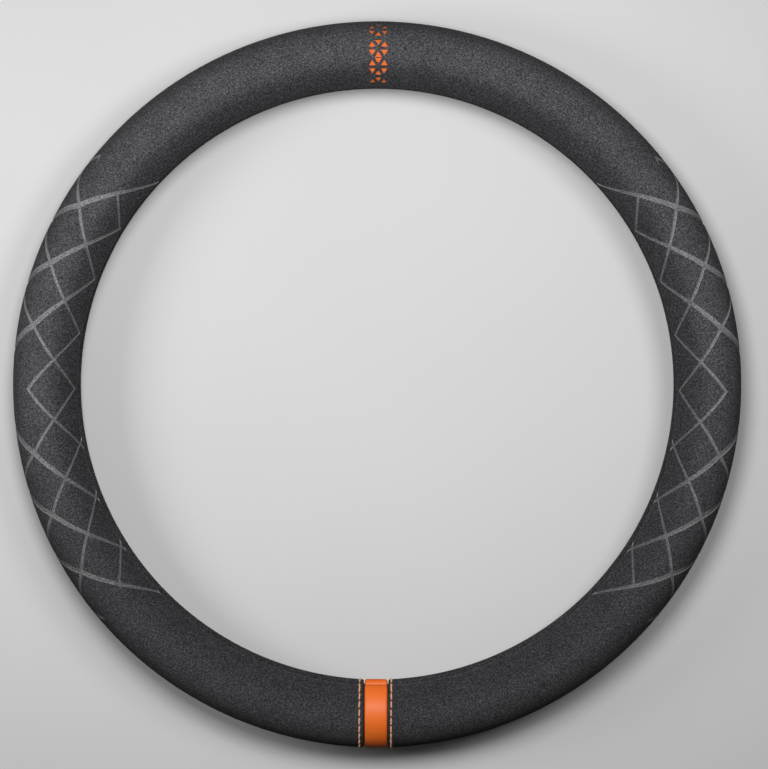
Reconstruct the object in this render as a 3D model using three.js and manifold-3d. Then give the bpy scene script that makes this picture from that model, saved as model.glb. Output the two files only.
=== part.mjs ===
// A steering wheel cover: a ring with a C-shaped section that is pulled over a wheel's rim.
// An elastic rubber ring is clothed in one strip of charcoal suede. The strip's two ends meet at
// an orange leather band at the bottom of the ring. Its grips are pressed with a diamond lattice,
// and at the top it is punched with triangles over an orange backing.
// Units are millimetres. The ring lies flat, back down, with its axis on +Z and its top at +Y.
import * as THREE from "three";
import { mergeVertices } from "three/addons/utils/BufferGeometryUtils.js";
import Module from "manifold-3d";

const wasm = await Module();
wasm.setup();

// Driving dimensions of the ring and its section.
const ringDiameter = 384;
const sectionDiameter = 37;
const skinThickness = 2.2;
const linerThickness = 2.2;
const clearance = 0.3;
const lipAngle = 149;
const restAngle = 80;

// The hem, where the skin is folded round the rubber lip and glued down inside.
const hemThickness = 1.2;
const hemLength = 7;
const hemSeatMargin = 4;
const rubberLipThickness = 1.6;

// The anti-slip ribs inside the rubber ring.
const ribAngles = [-60, 0, 60];
const ribHeight = 0.8;
const ribWidth = 2.4;

// The leather band, and the skived allowances by which it is sewn under the suede.
const bandWidth = 12.1;
const seamGap = 0.5;
const allowanceWidth = 4.6;
const allowanceThickness = 0.5;

// The two rows of stitches beside the band.
const leftRowOffset = 2.7;
const rightRowOffset = 2;
const stitchPitch = 4.6;
const threadDiameter = 0.6;
const threadDip = 0.5;
const stitchEndAngle = 143;
const channelOverrun = 2;

// The column of punched triangles at the top, six to a wheel, and the sheet behind them.
const triangleSide = 3.8;
const triangleGrid = 6.3;
const wheelAngles = [142, 108.5, 78, 41.5, 5, -29, -63, -97, -130];
const backingThickness = 0.5;
const backingMargin = 2;

// The skin and the rubber ring are each modelled as a left and a right half. The halves of the skin
// meet beside the punched column, this far from its edge.
const halvesMargin = 1.6;

// The lattice that is pressed into each grip, in half cells along the ring and rows round the section.
const halfCellAngle = 5.3;
const rowAngles = [140, 100, 60, 0, -60];
const risingLineDepth = 0.35;
const fallingLineDepth = 0.5;
const thinLineWidth = 1.4;
const wideLineWidth = 1.5;
const wideLineGrowth = 0.5;
const lineOverrun = 0.12;
const edgeRow = 3;
const backRow = 4;
const wideLineCells = [8, 6, 4];
const thinLineCells = [4, 2, 0];
const innerThinLine = { cell: 2, endRow: 2 };
const outerThinLine = { cell: 6, endRow: 1 };
const whiskerCell = 10;
const whiskerLength = 0.4;

// How finely the round forms are divided.
const ringSegments = 48;
const visibleAngles = [20, 40, 60, 80, 100, 120, 140];
const hiddenAngles = [30, 60, 90, 120];
const lipSegments = 4;
const innerLipSegments = 2;
const sheetEndAngle = 128.7;
const pocketEndAngle = 130;
const flatness = 0.02;
const weldDistance = 1e-4;
const cutterTop = -1;
const spaceOverlap = 1;
const sameRow = 0.01;
const turnOffset = 0.6;
const threadSides = 5;
const stepsEachStitch = 5;

const radians = THREE.MathUtils.degToRad;
const degrees = THREE.MathUtils.radToDeg;

// Sizes that follow from them.
const sectionRadius = sectionDiameter / 2;
const ringMidRadius = ringDiameter / 2 - sectionRadius;
const sectionHeight = sectionRadius * Math.sin(radians(restAngle));
const skinInside = sectionRadius - skinThickness;
const linerOutside = skinInside - clearance;
const linerInside = linerOutside - linerThickness;
const lipInside = linerOutside - rubberLipThickness;
const hemOutside = lipInside - clearance;
const hemInside = hemOutside - hemThickness;
const hemAngle = lipAngle - degrees(hemLength / hemInside);
const bandHalfWidth = bandWidth / 2;
const threadRadius = threadDiameter / 2;
const reach = ringDiameter;

const bothWays = (angles) => [...angles.map((a) => -a).reverse(), ...angles];
const outsideEdges = bothWays(visibleAngles).toSpliced(visibleAngles.length, 0, 0);

// A point of the section at a distance from its centre and an angle from the outward direction.
function sectionPoint(distance, angle) {
  const a = radians(angle);
  return new THREE.Vector2(ringMidRadius + distance * Math.cos(a), sectionHeight + distance * Math.sin(a));
}

const arc = (distance, angles) => angles.map((a) => sectionPoint(distance, a));

// The half circle that turns a lip from one distance to another, away from the section's middle angle.
function lipTurn(from, to, angle, segments) {
  const middle = (from + to) / 2;
  const radius = (from - to) / 2;
  const centre = sectionPoint(middle, angle);
  const side = Math.sign(angle);
  const points = [];
  for (let k = 0; k <= segments; k += 1) {
    const turn = radians(angle) + (side * Math.PI * k) / segments;
    points.push(new THREE.Vector2(centre.x + radius * Math.cos(turn), centre.y + radius * Math.sin(turn)));
  }
  return points;
}

// A closed mesh as a solid that can be joined and cut, and back again.
function solidFrom(geometry) {
  const bare = geometry.index ? geometry.toNonIndexed() : geometry.clone();
  bare.deleteAttribute("normal");
  bare.deleteAttribute("uv");
  const merged = mergeVertices(bare, weldDistance);
  return new wasm.Manifold(
    new wasm.Mesh({
      numProp: 3,
      vertProperties: new Float32Array(merged.attributes.position.array),
      triVerts: new Uint32Array(merged.index.array),
    }),
  );
}

function geometryFrom(solid) {
  const mesh = solid.asOriginal().simplify(flatness).getMesh();
  const geometry = new THREE.BufferGeometry();
  geometry.setAttribute("position", new THREE.BufferAttribute(mesh.vertProperties, 3));
  geometry.setIndex(new THREE.BufferAttribute(mesh.triVerts, 1));
  const faceted = geometry.toNonIndexed();
  faceted.computeVertexNormals();
  return faceted;
}

// A profile of the section, turned round the ring's axis, with a facet square to each main direction.
function turned(profile) {
  const lathe = new THREE.LatheGeometry([...profile, profile[0]], ringSegments, Math.PI / ringSegments);
  return solidFrom(lathe.rotateX(Math.PI / 2));
}

// A band of the section between two distances, over a list of angles.
function turnedLayer(inside, outside, angles) {
  return turned([...arc(outside, angles), ...arc(inside, [...angles].reverse())]);
}

// A slab across the ring at its bottom (side -1) or its top (side 1).
function slab(width, side) {
  const box = new THREE.BoxGeometry(width, reach, reach);
  return solidFrom(box.translate(0, (side * reach) / 2, 0));
}

const bottomSide = -1;
const topSide = 1;

// The outline that the skin and the band share: outside, round each lip, back as a hem, and inside.
function coveringProfile() {
  return [
    ...arc(sectionRadius, outsideEdges),
    ...lipTurn(sectionRadius, hemInside, lipAngle, lipSegments),
    ...arc(hemInside, [hemAngle]),
    ...arc(hemOutside, [hemAngle]),
    ...lipTurn(skinInside, hemOutside, lipAngle, innerLipSegments).reverse(),
    ...arc(skinInside, [...hiddenAngles].reverse()),
    ...arc(skinInside, hiddenAngles.map((a) => -a)),
    ...lipTurn(skinInside, hemOutside, -lipAngle, innerLipSegments),
    ...arc(hemOutside, [-hemAngle]),
    ...arc(hemInside, [-hemAngle]),
    ...lipTurn(sectionRadius, hemInside, -lipAngle, lipSegments).reverse(),
  ];
}

// The rubber ring: thin at its lips, where the hem lies, and ribbed inside.
function linerProfile() {
  const seatAngle = hemAngle - hemSeatMargin;
  const halfRib = degrees(ribWidth / 2 / linerInside);
  const inner = arc(lipInside, [hemAngle, seatAngle]);
  inner.push(...arc(linerInside, [seatAngle - hemSeatMargin, restAngle]));
  for (const angle of [...ribAngles].reverse()) {
    inner.push(...arc(linerInside, [angle + halfRib]));
    inner.push(...arc(linerInside - ribHeight, [angle]));
    inner.push(...arc(linerInside, [angle - halfRib]));
  }
  inner.push(...arc(linerInside, [-restAngle, hemSeatMargin - seatAngle]));
  inner.push(...arc(lipInside, [-seatAngle, -hemAngle]));
  return [
    ...arc(linerOutside, bothWays(hiddenAngles)),
    ...lipTurn(linerOutside, lipInside, lipAngle, innerLipSegments),
    ...inner,
    ...lipTurn(linerOutside, lipInside, -lipAngle, innerLipSegments).reverse(),
  ];
}

// The distance of the faceted outside from the section's centre, at an angle.
function facetDistance(angle) {
  const edges = [-lipAngle, ...outsideEdges, lipAngle];
  const high = edges.find((edge) => edge > angle) ?? lipAngle;
  const low = [...edges].reverse().find((edge) => edge <= angle && edge < high);
  const half = (high - low) / 2;
  return (sectionRadius * Math.cos(radians(half))) / Math.cos(radians(angle - low - half));
}

// A point that lies so far under the faceted outside, at an angle round the ring and one round the section.
function coverPoint(ringAngle, angle, depth) {
  const segment = 360 / ringSegments;
  const offCentre = ringAngle - Math.round(ringAngle / segment) * segment;
  const squeeze = Math.cos(radians(segment / 2)) / Math.cos(radians(offCentre));
  const p = sectionPoint(facetDistance(angle) - depth, angle);
  const radius = p.x * squeeze;
  return new THREE.Vector3(radius * Math.cos(radians(ringAngle)), radius * Math.sin(radians(ringAngle)), p.y);
}

// A closed strip that follows the outside along stations of {ring, section, width}, between two depths.
// Each station is cut along the ring, so that a strip turns over an edge of the facets in one line.
function surfaceStrip(stations, top, bottom) {
  const positions = [];
  stations.forEach((s, k) => {
    const from = stations[Math.max(k - 1, 0)];
    const to = stations[Math.max(k, 1)];
    const ringRadius = ringMidRadius + sectionRadius * Math.cos(radians(s.section));
    const slant = ((to.ring - from.ring) * ringRadius) / ((to.section - from.section) * sectionRadius);
    const shift = degrees((s.width / 2) * Math.hypot(1, slant)) / ringRadius;
    const way = Math.sign(to.section - from.section);
    for (const [side, depth] of [[way, bottom], [-way, bottom], [-way, top], [way, top]]) {
      const p = coverPoint(s.ring + side * shift, s.section + turnOffset, depth);
      positions.push(p.x, p.y, p.z);
    }
  });
  const faces = [0, 2, 1, 0, 3, 2];
  const last = (stations.length - 1) * 4;
  faces.push(last, last + 1, last + 2, last, last + 2, last + 3);
  for (let k = 0; k < last; k += 4) {
    for (let c = 0; c < 4; c += 1) {
      const d = (c + 1) % 4;
      faces.push(k + c, k + 4 + d, k + 4 + c, k + c, k + d, k + 4 + d);
    }
  }
  const geometry = new THREE.BufferGeometry();
  geometry.setAttribute("position", new THREE.Float32BufferAttribute(positions, 3));
  geometry.setIndex(faces);
  return solidFrom(geometry);
}

// The section angle of a place between the lattice's rows, which run from the lip over the outer edge
// to the back.
function rowAngle(row) {
  const k = Math.min(rowAngles.length - 2, Math.max(0, Math.floor(row)));
  return rowAngles[k] + (row - k) * (rowAngles[k + 1] - rowAngles[k]);
}

// The rows and the edges of the facets, as places between the rows.
const turns = [...rowAngles.keys()];
for (const edge of outsideEdges) {
  const k = rowAngles.findIndex((angle) => angle < edge) - 1;
  if (k < 0 || edge >= rowAngles[k]) continue;
  turns.push(k + (rowAngles[k] - edge) / (rowAngles[k] - rowAngles[k + 1]));
}
turns.sort((a, b) => a - b);

// One lattice line through two or three places {cell, row}, which turns wherever it meets a row or an edge.
function latticeLine(gripAngle, way, places, widthAt, depth) {
  const stations = [];
  places.slice(1).forEach((to, k) => {
    const from = places[k];
    const between = turns.filter((row) => row > from.row + sameRow && row < to.row - sameRow);
    for (const row of [...(k === 0 ? [from.row] : []), ...between, to.row]) {
      const cell = from.cell + ((row - from.row) * (to.cell - from.cell)) / (to.row - from.row);
      const ring = gripAngle + way * cell * halfCellAngle;
      stations.push({ ring, section: rowAngle(row), width: widthAt(row) });
    }
  });
  return surfaceStrip(stations, cutterTop, depth);
}

// The lines of half a grip's lattice, mirrored along the ring by way. They cross the front from the lip
// to the outer edge, where they bend back like a mirror image as far as the first nodes of the back.
function latticeHalf(gripAngle, way) {
  const thin = () => thinLineWidth;
  const wide = (row) => wideLineWidth + wideLineGrowth * Math.max(Math.min(row, edgeRow), 0);
  const lines = [];
  const add = (cell, row, slope, endRow, widthAt) => {
    const at = (place) => ({ cell: cell + slope * place, row: place });
    const places = [at(row), at(Math.min(endRow, edgeRow))];
    if (endRow > edgeRow) places.push({ cell: cell + slope * (2 * edgeRow - endRow), row: endRow });
    const depth = slope > 0 ? risingLineDepth : fallingLineDepth;
    lines.push(latticeLine(gripAngle, way, places, widthAt, depth));
  };
  for (const cell of wideLineCells) add(cell, -lineOverrun, -1, backRow, wide);
  for (const cell of thinLineCells) add(cell, -lineOverrun, 1, backRow, thin);
  add(innerThinLine.cell, -lineOverrun, -1, innerThinLine.endRow, thin);
  add(outerThinLine.cell, -lineOverrun, 1, outerThinLine.endRow, thin);
  add(whiskerCell, edgeRow - whiskerLength, -1, edgeRow, thin);
  return lines;
}

function latticeCutter() {
  const lines = [];
  for (const gripAngle of [0, 180]) {
    for (const way of [-1, 1]) lines.push(...latticeHalf(gripAngle, way));
  }
  return wasm.Manifold.union(lines);
}

// One punched triangle: its centre in millimetres along and across the column, and which way it points.
function triangleHole(along, across, pointing, depth) {
  const section = degrees(along / sectionRadius);
  const corners = [90, 210, 330].map((turn) => {
    const far = triangleSide / Math.sqrt(3);
    return [far * Math.cos(radians(turn)), pointing * far * Math.sin(radians(turn))];
  });
  if (pointing < 0) corners.reverse();
  const positions = [];
  const ringRadius = ringMidRadius + sectionRadius * Math.cos(radians(section));
  for (const level of [cutterTop, depth]) {
    for (const [dx, ds] of corners) {
      const ring = 90 - degrees((across + dx) / ringRadius);
      const p = coverPoint(ring, section + degrees(ds / sectionRadius), level);
      positions.push(p.x, p.y, p.z);
    }
  }
  const geometry = new THREE.BufferGeometry();
  geometry.setAttribute("position", new THREE.Float32BufferAttribute(positions, 3));
  geometry.setIndex([0, 2, 1, 3, 4, 5, 0, 1, 4, 0, 4, 3, 1, 2, 5, 1, 5, 4, 2, 0, 3, 2, 3, 5]);
  return solidFrom(geometry);
}

// Wheels of six triangles, one above another round the section, as far as the folds at the lips.
function perforationCutter(depth) {
  const rowHeight = (triangleGrid * Math.sqrt(3)) / 2;
  const near = rowHeight / 3;
  const far = (rowHeight * 2) / 3;
  const triangles = [];
  for (const wheelAngle of wheelAngles) {
    const centre = radians(wheelAngle) * sectionRadius;
    for (const up of [-1, 1]) {
      triangles.push({ along: centre + up * far, across: 0, pointing: -up });
      for (const side of [-1, 1]) {
        triangles.push({ along: centre + up * near, across: (side * triangleGrid) / 2, pointing: up });
      }
    }
  }
  const foldAt = radians(lipAngle) * sectionRadius - triangleSide / Math.sqrt(3);
  const beforeFold = triangles.filter((t) => Math.abs(t.along) < foldAt);
  return wasm.Manifold.union(beforeFold.map((t) => triangleHole(t.along, t.across, t.pointing, depth)));
}

// The line of one row of stitches: flat on the suede, with a short dip at each needle hole.
class StitchRow extends THREE.Curve {
  constructor(x) {
    super();
    this.x = x;
    this.count = Math.round((radians(2 * stitchEndAngle) * sectionRadius) / stitchPitch);
  }
  ringAngle(angle) {
    const radius = ringMidRadius + sectionRadius * Math.cos(radians(angle));
    return -90 + degrees(Math.asin(this.x / radius));
  }
  getPoint(t, target = new THREE.Vector3()) {
    const angle = stitchEndAngle * (2 * t - 1);
    const phase = (t * this.count) % 1;
    const fromHole = Math.min(phase, 1 - phase) * stepsEachStitch;
    const dip = threadDip * Math.max(0, 1 - fromHole);
    return target.copy(coverPoint(this.ringAngle(angle), angle, threadRadius + dip));
  }
}

function thread(row) {
  const section = new THREE.Shape();
  for (let k = 0; k < threadSides; k += 1) {
    const a = (2 * Math.PI * k) / threadSides;
    const point = [threadRadius * Math.cos(a), threadRadius * Math.sin(a)];
    if (k === 0) section.moveTo(...point);
    else section.lineTo(...point);
  }
  section.closePath();
  const steps = row.count * stepsEachStitch;
  return solidFrom(new THREE.ExtrudeGeometry(section, { steps, extrudePath: row, bevelEnabled: false }));
}

// The channel that a row of stitches lies in.
function stitchChannel(row) {
  const endAngle = stitchEndAngle + channelOverrun;
  const stations = [-endAngle, ...outsideEdges, endAngle].map((angle) => ({
    ring: row.ringAngle(angle),
    section: angle,
    width: threadDiameter + 2 * clearance,
  }));
  return surfaceStrip(stations, cutterTop, threadDiameter + threadDip + clearance);
}

// The space under the skin for a sheet between it and the rubber ring, and the sheet itself.
const sheetAngles = (end) => [-end, ...bothWays(hiddenAngles), end];

function sheetPocket(thickness) {
  return turnedLayer(linerOutside, skinInside + thickness + clearance, sheetAngles(pocketEndAngle));
}

function sheetLayer(thickness) {
  return turnedLayer(skinInside, skinInside + thickness, sheetAngles(sheetEndAngle));
}

const covering = turned(coveringProfile());
const rows = [new StitchRow(-bandHalfWidth - leftRowOffset), new StitchRow(bandHalfWidth + rightRowOffset)];
const backingWidth = triangleGrid + triangleSide + 2 * backingMargin;
const allowanceReach = bandWidth + 2 * allowanceWidth;

function suedeSkin() {
  const pocketGap = 2 * clearance;
  const bandPocket = sheetPocket(allowanceThickness).intersect(slab(allowanceReach + pocketGap, bottomSide));
  const backingPocket = sheetPocket(backingThickness).intersect(slab(backingWidth + pocketGap, topSide));
  const cutters = [
    slab(bandWidth + 2 * seamGap, bottomSide),
    bandPocket,
    backingPocket,
    perforationCutter(skinThickness),
    latticeCutter(),
    ...rows.map(stitchChannel),
  ];
  return covering.subtract(wasm.Manifold.union(cutters));
}

function leatherBand() {
  const body = covering.intersect(slab(bandWidth, bottomSide));
  const allowances = sheetLayer(allowanceThickness).intersect(slab(allowanceReach, bottomSide));
  return body.add(allowances);
}

// The space of the left (side -1) or the right half, parted at the top at a place across the ring.
function halfSpace(side, topPlace) {
  const part = (place, end) => {
    const edge = place + (side * clearance) / 2;
    const box = new THREE.BoxGeometry(reach, reach, reach);
    return solidFrom(box.translate(edge + (side * reach) / 2, end * (reach / 2 - spaceOverlap), 0));
  };
  return part(topPlace, topSide).add(part(0, bottomSide));
}

const perforationBacking = () => sheetLayer(backingThickness).intersect(slab(backingWidth, topSide));

const suede = new THREE.MeshStandardMaterial({ color: 0x3b3b3e, roughness: 0.95, metalness: 0 });
const leather = new THREE.MeshStandardMaterial({ color: 0xf2691e, roughness: 0.5, metalness: 0 });
const cloth = new THREE.MeshStandardMaterial({ color: 0xee6a1c, roughness: 0.8, metalness: 0 });
const threadFinish = new THREE.MeshStandardMaterial({ color: 0xd98348, roughness: 0.7, metalness: 0 });
const rubber = new THREE.MeshStandardMaterial({ color: 0x161616, roughness: 0.85, metalness: 0 });

const cover = new THREE.Group();

function addPiece(name, solid, material) {
  const mesh = new THREE.Mesh(geometryFrom(solid), material);
  mesh.name = name;
  cover.add(mesh);
}

const liner = turned(linerProfile());
const skin = suedeSkin();
const besideColumn = backingWidth / 2 + halvesMargin;
for (const [name, side] of [["left", -1], ["right", 1]]) {
  addPiece(`rubber_ring_${name}`, liner.intersect(halfSpace(side, 0)), rubber);
  addPiece(`suede_skin_${name}`, skin.intersect(halfSpace(side, besideColumn)), suede);
}
addPiece("leather_band", leatherBand(), leather);
addPiece("perforation_backing", perforationBacking(), cloth);
addPiece("stitching_left", thread(rows[0]), threadFinish);
addPiece("stitching_right", thread(rows[1]), threadFinish);

export default cover;
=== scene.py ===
# %% [markdown]
# A steering wheel cover lies flat, seen from straight in front.
#
# The real one is a rubber ring with a C-shaped section, clothed in one long strip of suede. The
# strip is pressed, punched and sewn while it lies flat, and only then is it wrapped round the ring.
# This script works in the same order. Each soft piece is modelled as a flat pattern, with X along
# the ring and Y across it, and one function then wraps the pattern round the ring.
#
# The frame comes first. It is the measured model of the cover, and its pieces stay where they are.

# %% Load the frame
import math

import bmesh
import bpy
import numpy as np
from mathutils import Matrix, Vector


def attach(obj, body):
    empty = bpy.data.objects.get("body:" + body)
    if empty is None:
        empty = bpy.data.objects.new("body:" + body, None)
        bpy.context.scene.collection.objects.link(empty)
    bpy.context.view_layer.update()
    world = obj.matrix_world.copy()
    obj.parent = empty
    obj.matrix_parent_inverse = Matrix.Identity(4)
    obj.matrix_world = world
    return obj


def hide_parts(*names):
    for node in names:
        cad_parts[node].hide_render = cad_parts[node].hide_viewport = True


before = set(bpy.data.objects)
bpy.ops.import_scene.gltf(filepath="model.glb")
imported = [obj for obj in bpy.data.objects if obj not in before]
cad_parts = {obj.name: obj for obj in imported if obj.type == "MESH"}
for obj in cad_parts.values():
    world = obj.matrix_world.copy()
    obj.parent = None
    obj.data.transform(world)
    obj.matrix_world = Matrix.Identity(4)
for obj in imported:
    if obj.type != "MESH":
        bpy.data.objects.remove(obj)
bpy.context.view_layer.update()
print("pieces of the frame:", sorted(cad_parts))

# %% [markdown]
# The sizes are written in millimetres, as the maker would, and turned to metres where they are used.
# The section is a circle with a mouth towards the hub. An angle round the section is counted from
# the outward direction, so 0 is the outer edge, 90 the front and 149 the start of the lip.

# %% Sizes of the ring and its section
MM = 0.001
RING_MID = 173.5
SECTION = 18.5
FLAT_FROM = 80  # the underside is flat from this angle round the section
SECTION_HEIGHT = SECTION * math.sin(math.radians(FLAT_FROM))
LIP_ANGLE = 149
HEM_DISTANCE = 12.9
HEM_LENGTH = 7
LIP_TURN = (SECTION - HEM_DISTANCE) / 2
LIP_CENTRE = (SECTION + HEM_DISTANCE) / 2
SKIN_THICKNESS = 1.2

LIP_START = SECTION * math.radians(LIP_ANGLE)
LIP_END = LIP_START + math.pi * LIP_TURN
HEM_END = LIP_END + HEM_LENGTH
PER_DEGREE = RING_MID * math.pi / 180
print("the strip is", round(2 * HEM_END, 1), "mm wide before it is folded")


# %% [markdown]
# The wrap is plain arithmetic, and the same for every piece. A place across the strip runs over the
# round of the section, turns round the lip in a small half circle, and comes back inside as the hem.
# A place along the strip is an angle round the ring. Blender's Curve modifier could bend the strip
# too, but it can't turn the tight hem, and it stretches the pattern where the section is narrow.

# %% Wrap a flat pattern round the ring
SQUARE_TO = 14  # beside the band the pattern keeps square up to here, in mm from its middle
SQUARE_FADED = 45


def section_place(across, depth):
    """Distance from the ring's axis and height, in mm, for places across the strip and heights over it."""
    side = np.where(across < 0, -1.0, 1.0)
    run = np.abs(across)
    body_angle = np.minimum(run, LIP_START) / SECTION
    turn = np.clip(run - LIP_START, 0, math.pi * LIP_TURN) / LIP_TURN
    hem = np.clip(run - LIP_END, 0, None) / HEM_DISTANCE
    lip = math.radians(LIP_ANGLE)
    on_body = run <= LIP_START
    on_lip = ~on_body & (run <= LIP_END)
    x = np.where(on_body, (SECTION + depth) * np.cos(body_angle), 0)
    z = np.where(on_body, (SECTION + depth) * np.sin(body_angle), 0)
    x = np.where(on_lip, LIP_CENTRE * math.cos(lip) + (LIP_TURN + depth) * np.cos(lip + turn), x)
    z = np.where(on_lip, LIP_CENTRE * math.sin(lip) + (LIP_TURN + depth) * np.sin(lip + turn), z)
    on_hem = ~on_body & ~on_lip
    x = np.where(on_hem, (HEM_DISTANCE - depth) * np.cos(lip - hem), x)
    z = np.where(on_hem, (HEM_DISTANCE - depth) * np.sin(lip - hem), z)
    return RING_MID + x, SECTION_HEIGHT + side * z


def smoothstep(low, high, value):
    t = np.clip((value - low) / (high - low), 0, 1)
    return t * t * (3 - 2 * t)


def vertex_array(obj):
    places = np.empty(len(obj.data.vertices) * 3)
    obj.data.vertices.foreach_get("co", places)
    return places.reshape(-1, 3)


def set_vertices(obj, places):
    obj.data.vertices.foreach_set("co", places.ravel())
    obj.data.update()


def ring_angle(along, across):
    """Angle round the ring, in radians from the bottom, for places along the strip from the top.
    Near the band the places keep their distance from its middle instead."""
    radius, _ = section_place(across, np.zeros_like(across))
    turn = math.pi + np.radians(along / PER_DEGREE)
    near = np.where(turn < math.pi, turn, turn - 2 * math.pi)
    level = np.arcsin(np.clip(near * RING_MID / radius, -1, 1))
    weight = 1 - smoothstep(SQUARE_TO, SQUARE_FADED, np.abs(near) * RING_MID)
    return near + weight * (level - near)


def wrap(obj):
    """Turns a flat pattern in metres, with its middle at the top of the ring, into the real shape.
    What would sink into the table is pressed flat on it."""
    flat = vertex_array(obj) / MM
    angle = ring_angle(flat[:, 0], flat[:, 1])
    radius, height = section_place(flat[:, 1], flat[:, 2])
    turned = np.stack([radius * np.sin(angle), -radius * np.cos(angle), np.maximum(height, 0)], axis=1)
    set_vertices(obj, turned * MM)


# %% [markdown]
# Some helpers stand for what a modeller does with the mouse: add a grid with its rows where they
# are wanted, select faces, and cut the selected faces along a line. `bisect` is that cut. It needs
# only a point and a direction, so it works without a window.

# %% Helpers for modelling a flat pattern
def start_object():
    if bpy.context.object and bpy.context.object.mode != "OBJECT":
        bpy.ops.object.mode_set(mode="OBJECT")
    bpy.ops.object.select_all(action="DESELECT")


def make_active(obj):
    start_object()
    obj.select_set(True)
    bpy.context.view_layer.objects.active = obj


def flat_grid(name, columns, rows):
    """A flat grid whose columns and rows lie at the listed places, in mm."""
    start_object()
    bpy.ops.mesh.primitive_grid_add(x_subdivisions=len(columns) - 1, y_subdivisions=len(rows) - 1, size=1)
    obj = bpy.context.object
    obj.name = obj.data.name = name
    places = vertex_array(obj)
    column = np.rint((places[:, 0] + 0.5) * (len(columns) - 1)).astype(int)
    row = np.rint((places[:, 1] + 0.5) * (len(rows) - 1)).astype(int)
    places[:, 0] = np.array(columns)[column] * MM
    places[:, 1] = np.array(rows)[row] * MM
    set_vertices(obj, places)
    return obj


def select_faces(obj, chosen):
    """Selects the faces whose middles, in mm, pass the test. The object is in edit mode."""
    mesh = bmesh.from_edit_mesh(obj.data)
    count = 0
    for face in mesh.faces:
        middle = face.calc_center_bounds()
        wanted = chosen(middle.x / MM, middle.y / MM)
        face.select = wanted
        count += wanted
    mesh.select_flush(True)
    mesh.select_flush(False)
    bmesh.update_edit_mesh(obj.data, loop_triangles=False, destructive=False)
    return count


def cut_line(obj, chosen, start, end):
    """Cuts the chosen faces along the straight line through two places."""
    if not select_faces(obj, chosen):
        return
    along = Vector((end[0] - start[0], end[1] - start[1], 0)).normalized()
    bpy.ops.mesh.bisect(
        plane_co=(start[0] * MM, start[1] * MM, 0), plane_no=(-along.y, along.x, 0), threshold=1e-7
    )


def spread(low, high, count):
    return [low + (high - low) * k / count for k in range(count + 1)]


def thicken(obj, depth):
    """Gives a flat sheet its thickness, in mm, below its face."""
    make_active(obj)
    thickness = obj.modifiers.new("thickness", "SOLIDIFY")
    thickness.thickness = depth * MM
    thickness.offset = -1
    bpy.ops.object.modifier_apply(modifier=thickness.name)


def clean_mesh(merge_within=None):
    """Turns the faces of the active object outward, and first merges vertices where that is asked."""
    bpy.ops.object.mode_set(mode="EDIT")
    bpy.ops.mesh.select_all(action="SELECT")
    if merge_within:
        bpy.ops.mesh.remove_doubles(threshold=merge_within)
    bpy.ops.mesh.normals_make_consistent(inside=False)
    bpy.ops.object.mode_set(mode="OBJECT")


SMOOTH_ANGLE = 40


def smooth(angle=SMOOTH_ANGLE):
    """Shades the selected object smooth, except at edges sharper than an angle in degrees."""
    bpy.ops.object.shade_smooth_by_angle(angle=math.radians(angle))


# %% [markdown]
# The strip is one grid with its columns close together beside the band, where the stitches pull it
# in, and its rows close together where it turns round the lips. Only half of it is modelled, from
# the band to the punched column at the top. The other half is its mirror image.

# %% Columns and rows of the strip
BAND_HALF = 6.05
SEAM_GAP = 0.5
COLUMN_HALF = 14

seam = BAND_HALF + SEAM_GAP
beside_seam = [0, 0.08, 0.2, 0.4, 0.65, 0.9, 1.1, 1.25, 1.4, 1.55, 1.7, 1.85, 2, 2.15, 2.3, 2.5, 2.75, 3.1]
beside_seam += [3.7, 4.6, 5.8, 7.5]
ring_half = math.pi * RING_MID
seam_columns = [seam - ring_half + d for d in beside_seam]
plain_columns = spread(seam_columns[-1], -COLUMN_HALF, 84)[1:]

body_rows = spread(-LIP_START, LIP_START, 44)
lip_rows = spread(LIP_START, LIP_END, 14)[1:] + spread(LIP_END, HEM_END, 3)[1:]
strip_rows = [-y for y in reversed(lip_rows)] + body_rows + lip_rows
strip = flat_grid("suede_skin_strip", seam_columns + plain_columns, strip_rows)
print("the half strip starts with", len(strip.data.polygons), "faces")

# %% [markdown]
# Beside the band the rows must be closer too, because each needle hole is a small dimple. Dividing
# only the edges that run across the strip adds rows there and leaves the rest of the grid alone.

# %% More rows beside the band
make_active(strip)
bpy.ops.object.mode_set(mode="EDIT")
bpy.ops.mesh.select_mode(type="EDGE")
mesh = bmesh.from_edit_mesh(strip.data)
dense_end = seam_columns[-3] + 0.01
for edge in mesh.edges:
    a, b = (v.co / MM for v in edge.verts)
    edge.select = abs(a.x - b.x) < 1e-4 and a.x < dense_end and abs(a.y) < LIP_START + 0.1 > abs(b.y)
mesh.select_flush(False)
bmesh.update_edit_mesh(strip.data)
bpy.ops.mesh.subdivide(number_cuts=3, ngon=True, quadcorner="INNERVERT")
bpy.ops.mesh.select_mode(type="FACE")
print("with the seam's rows it has", len(bmesh.from_edit_mesh(strip.data).faces), "faces")

# %% [markdown]
# The lattice is a net of straight lines on the flat strip. A place in it is counted in half cells
# along the ring and in rows across it, where row 0 lies by the lip, row 3 on the outer edge and
# row 4 behind it. The wide lines fall from the lip to the outer edge, and the thin ones cross them.

# %% The lattice's lines
HALF_CELL = 5.3 * PER_DEGREE
GRIP_MIDDLE = -90 * PER_DEGREE
ROW_PLACES = [SECTION * math.radians(angle) for angle in (144.5, 103.5, 62.5, 0, -60)]
OUTER_ROW = 3
OVERRUN = 0.3
WALL = 0.35
PRESS_DEPTH = 0.4


def row_place(row):
    k = min(OUTER_ROW, max(0, math.floor(row)))
    return ROW_PLACES[k] + (row - k) * (ROW_PLACES[k + 1] - ROW_PLACES[k])


def thin(row):
    """Width of a thin line at a row, in mm."""
    return 1.25 + 0.25 * min(max(row, 0), 2)


def wide(row):
    """Width of a wide line at a row, in mm."""
    return 1.4 + 0.75 * min(max(row, 0), OUTER_ROW)


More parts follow.
